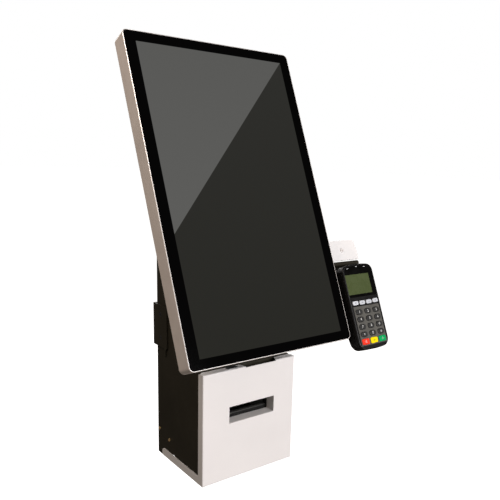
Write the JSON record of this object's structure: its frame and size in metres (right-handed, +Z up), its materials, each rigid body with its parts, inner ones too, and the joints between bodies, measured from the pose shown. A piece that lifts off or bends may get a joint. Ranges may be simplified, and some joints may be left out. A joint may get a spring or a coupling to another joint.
{
  "type": "touchscreen kiosk",
  "caption": "Wall-hung self-service kiosk with a tilting portrait touch display, receipt printer box with drop-down cover and a payment terminal on a side arm.",
  "frame": {"origin": "centre of the wall bolt pattern, on the wall plane", "axes": "+X to the right seen from the front, +Y into the wall along the wall bolts, +Z up"},
  "size_m": [0.402, 0.234, 0.6955],
  "materials": {
    "body_black": "fine textured black powder coat",
    "cover_white": "satin white powder coat",
    "frame_alu": "bead blasted anodised aluminium",
    "front_glass": "tempered front glass with a black printed border, polished",
    "panel_metal": "panel module, satin",
    "zinc_steel": "zinc plated",
    "black_steel": "black oxide",
    "brass_screw": "yellow passivated",
    "circuit_board": "green solder mask",
    "supply_case": "satin",
    "black_plastic": "moulded, fine texture",
    "platen_rubber": "matte",
    "receipt_paper": "smooth thermal paper",
    "terminal_case": "moulded, satin",
    "terminal_window": "polished",
    "terminal_screen": "olive reflective display",
    "key_dark": "satin keytop",
    "key_silver": "silver painted keytop",
    "key_red": "satin keytop",
    "key_yellow": "satin keytop",
    "key_green": "satin keytop"
  },
  "bodies": {
    "housing": {"wall_bracket": "body_black", "wall_bracket_screws": "black_steel", "side_plate_left": "body_black", "side_plate_right": "body_black", "upper_shell": "body_black", "rear_panel": "body_black", "base_plate": "body_black", "foot_bracket_left": "body_black", "foot_bracket_right": "body_black", "side_screws": "brass_screw", "cover_hinge_pins": "zinc_steel", "tilt_bracket": "body_black", "tilt_pin": "zinc_steel", "printer_bezel": "black_plastic", "tear_bar": "zinc_steel", "printer_frame": "zinc_steel", "print_head": "supply_case", "paper_bucket": "black_plastic", "roll_spindle": "black_plastic", "control_board": "circuit_board", "power_supply": "supply_case"},
    "cover": {"front_cover": "cover_white", "receipt_chute": "cover_white", "catch_clip": "zinc_steel"},
    "display": {"display_frame": "frame_alu", "touch_glass": "front_glass", "lcd_panel": "panel_metal", "display_board": "circuit_board", "display_rear_cover": "body_black", "vesa_plate": "body_black", "display_screws": "black_steel", "terminal_arm": "cover_white", "terminal_hinge_pin": "zinc_steel"},
    "terminal": {"terminal_cradle": "body_black", "terminal_rear_shell": "terminal_case", "terminal_front_shell": "terminal_case", "terminal_lens": "terminal_window", "terminal_lcd": "terminal_screen", "terminal_board": "circuit_board"},
    "platen": {"platen_roller": "platen_rubber"},
    "roll": {"paper_roll": "receipt_paper"},
    "key_1_cap": {"key_1": "key_dark"},
    "key_2_cap": {"key_2": "key_dark"},
    "key_3_cap": {"key_3": "key_dark"},
    "key_4_cap": {"key_4": "key_dark"},
    "key_5_cap": {"key_5": "key_dark"},
    "key_6_cap": {"key_6": "key_dark"},
    "key_7_cap": {"key_7": "key_dark"},
    "key_8_cap": {"key_8": "key_dark"},
    "key_9_cap": {"key_9": "key_dark"},
    "key_star_cap": {"key_star": "key_dark"},
    "key_0_cap": {"key_0": "key_dark"},
    "key_hash_cap": {"key_hash": "key_dark"},
    "key_function_1_cap": {"key_function_1": "key_silver"},
    "key_function_2_cap": {"key_function_2": "key_silver"},
    "key_function_3_cap": {"key_function_3": "key_silver"},
    "key_function_4_cap": {"key_function_4": "key_silver"},
    "key_cancel_red_cap": {"key_cancel_red": "key_red"},
    "key_clear_yellow_cap": {"key_clear_yellow": "key_yellow"},
    "key_enter_green_cap": {"key_enter_green": "key_green"}
  },
  "joints": [
    {"name": "display_tilt", "type": "hinge", "parent": "housing", "child": "display", "pos_m": [0, -0.08861, 0.1971], "axis": [1, 0, 0], "range_deg": [0, 13]},
    {"name": "cover_drop", "type": "hinge", "parent": "housing", "child": "cover", "pos_m": [0, -0.031, -0.228], "axis": [1, 0, 0], "range_deg": [0, 60]},
    {"name": "terminal_tilt", "type": "hinge", "parent": "display", "child": "terminal", "pos_m": [0, -0.14375, 0.09942], "axis": [1, 0, 0], "range_deg": [-20, 15]},
    {"name": "platen_spin", "type": "hinge", "parent": "housing", "child": "platen", "pos_m": [0, -0.118, -0.122], "axis": [1, 0, 0], "continuous": true},
    {"name": "roll_spin", "type": "hinge", "parent": "housing", "child": "roll", "pos_m": [0.0035, -0.095, -0.184], "axis": [1, 0, 0], "continuous": true},
    {"name": "key_1_press", "type": "slide", "parent": "terminal", "child": "key_1_cap", "axis": [0, 0.9191, -0.3939], "range_m": [0, 0.0012], "stiffness_N_per_m": 900, "springref_m": -0.0004},
    {"name": "key_2_press", "type": "slide", "parent": "terminal", "child": "key_2_cap", "axis": [0, 0.9191, -0.3939], "range_m": [0, 0.0012], "stiffness_N_per_m": 900, "springref_m": -0.0004},
    {"name": "key_3_press", "type": "slide", "parent": "terminal", "child": "key_3_cap", "axis": [0, 0.9191, -0.3939], "range_m": [0, 0.0012], "stiffness_N_per_m": 900, "springref_m": -0.0004},
    {"name": "key_4_press", "type": "slide", "parent": "terminal", "child": "key_4_cap", "axis": [0, 0.9191, -0.3939], "range_m": [0, 0.0012], "stiffness_N_per_m": 900, "springref_m": -0.0004},
    {"name": "key_5_press", "type": "slide", "parent": "terminal", "child": "key_5_cap", "axis": [0, 0.9191, -0.3939], "range_m": [0, 0.0012], "stiffness_N_per_m": 900, "springref_m": -0.0004},
    {"name": "key_6_press", "type": "slide", "parent": "terminal", "child": "key_6_cap", "axis": [0, 0.9191, -0.3939], "range_m": [0, 0.0012], "stiffness_N_per_m": 900, "springref_m": -0.0004},
    {"name": "key_7_press", "type": "slide", "parent": "terminal", "child": "key_7_cap", "axis": [0, 0.9191, -0.3939], "range_m": [0, 0.0012], "stiffness_N_per_m": 900, "springref_m": -0.0004},
    {"name": "key_8_press", "type": "slide", "parent": "terminal", "child": "key_8_cap", "axis": [0, 0.9191, -0.3939], "range_m": [0, 0.0012], "stiffness_N_per_m": 900, "springref_m": -0.0004},
    {"name": "key_9_press", "type": "slide", "parent": "terminal", "child": "key_9_cap", "axis": [0, 0.9191, -0.3939], "range_m": [0, 0.0012], "stiffness_N_per_m": 900, "springref_m": -0.0004},
    {"name": "key_star_press", "type": "slide", "parent": "terminal", "child": "key_star_cap", "axis": [0, 0.9191, -0.3939], "range_m": [0, 0.0012], "stiffness_N_per_m": 900, "springref_m": -0.0004},
    {"name": "key_0_press", "type": "slide", "parent": "terminal", "child": "key_0_cap", "axis": [0, 0.9191, -0.3939], "range_m": [0, 0.0012], "stiffness_N_per_m": 900, "springref_m": -0.0004},
    {"name": "key_hash_press", "type": "slide", "parent": "terminal", "child": "key_hash_cap", "axis": [0, 0.9191, -0.3939], "range_m": [0, 0.0012], "stiffness_N_per_m": 900, "springref_m": -0.0004},
    {"name": "key_function_1_press", "type": "slide", "parent": "terminal", "child": "key_function_1_cap", "axis": [0, 0.9191, -0.3939], "range_m": [0, 0.0012], "stiffness_N_per_m": 900, "springref_m": -0.0004},
    {"name": "key_function_2_press", "type": "slide", "parent": "terminal", "child": "key_function_2_cap", "axis": [0, 0.9191, -0.3939], "range_m": [0, 0.0012], "stiffness_N_per_m": 900, "springref_m": -0.0004},
    {"name": "key_function_3_press", "type": "slide", "parent": "terminal", "child": "key_function_3_cap", "axis": [0, 0.9191, -0.3939], "range_m": [0, 0.0012], "stiffness_N_per_m": 900, "springref_m": -0.0004},
    {"name": "key_function_4_press", "type": "slide", "parent": "terminal", "child": "key_function_4_cap", "axis": [0, 0.9191, -0.3939], "range_m": [0, 0.0012], "stiffness_N_per_m": 900, "springref_m": -0.0004},
    {"name": "key_cancel_red_press", "type": "slide", "parent": "terminal", "child": "key_cancel_red_cap", "axis": [0, 0.9191, -0.3939], "range_m": [0, 0.0012], "stiffness_N_per_m": 900, "springref_m": -0.0004},
    {"name": "key_clear_yellow_press", "type": "slide", "parent": "terminal", "child": "key_clear_yellow_cap", "axis": [0, 0.9191, -0.3939], "range_m": [0, 0.0012], "stiffness_N_per_m": 900, "springref_m": -0.0004},
    {"name": "key_enter_green_press", "type": "slide", "parent": "terminal", "child": "key_enter_green_cap", "axis": [0, 0.9191, -0.3939], "range_m": [0, 0.0012], "stiffness_N_per_m": 900, "springref_m": -0.0004}
  ]
}
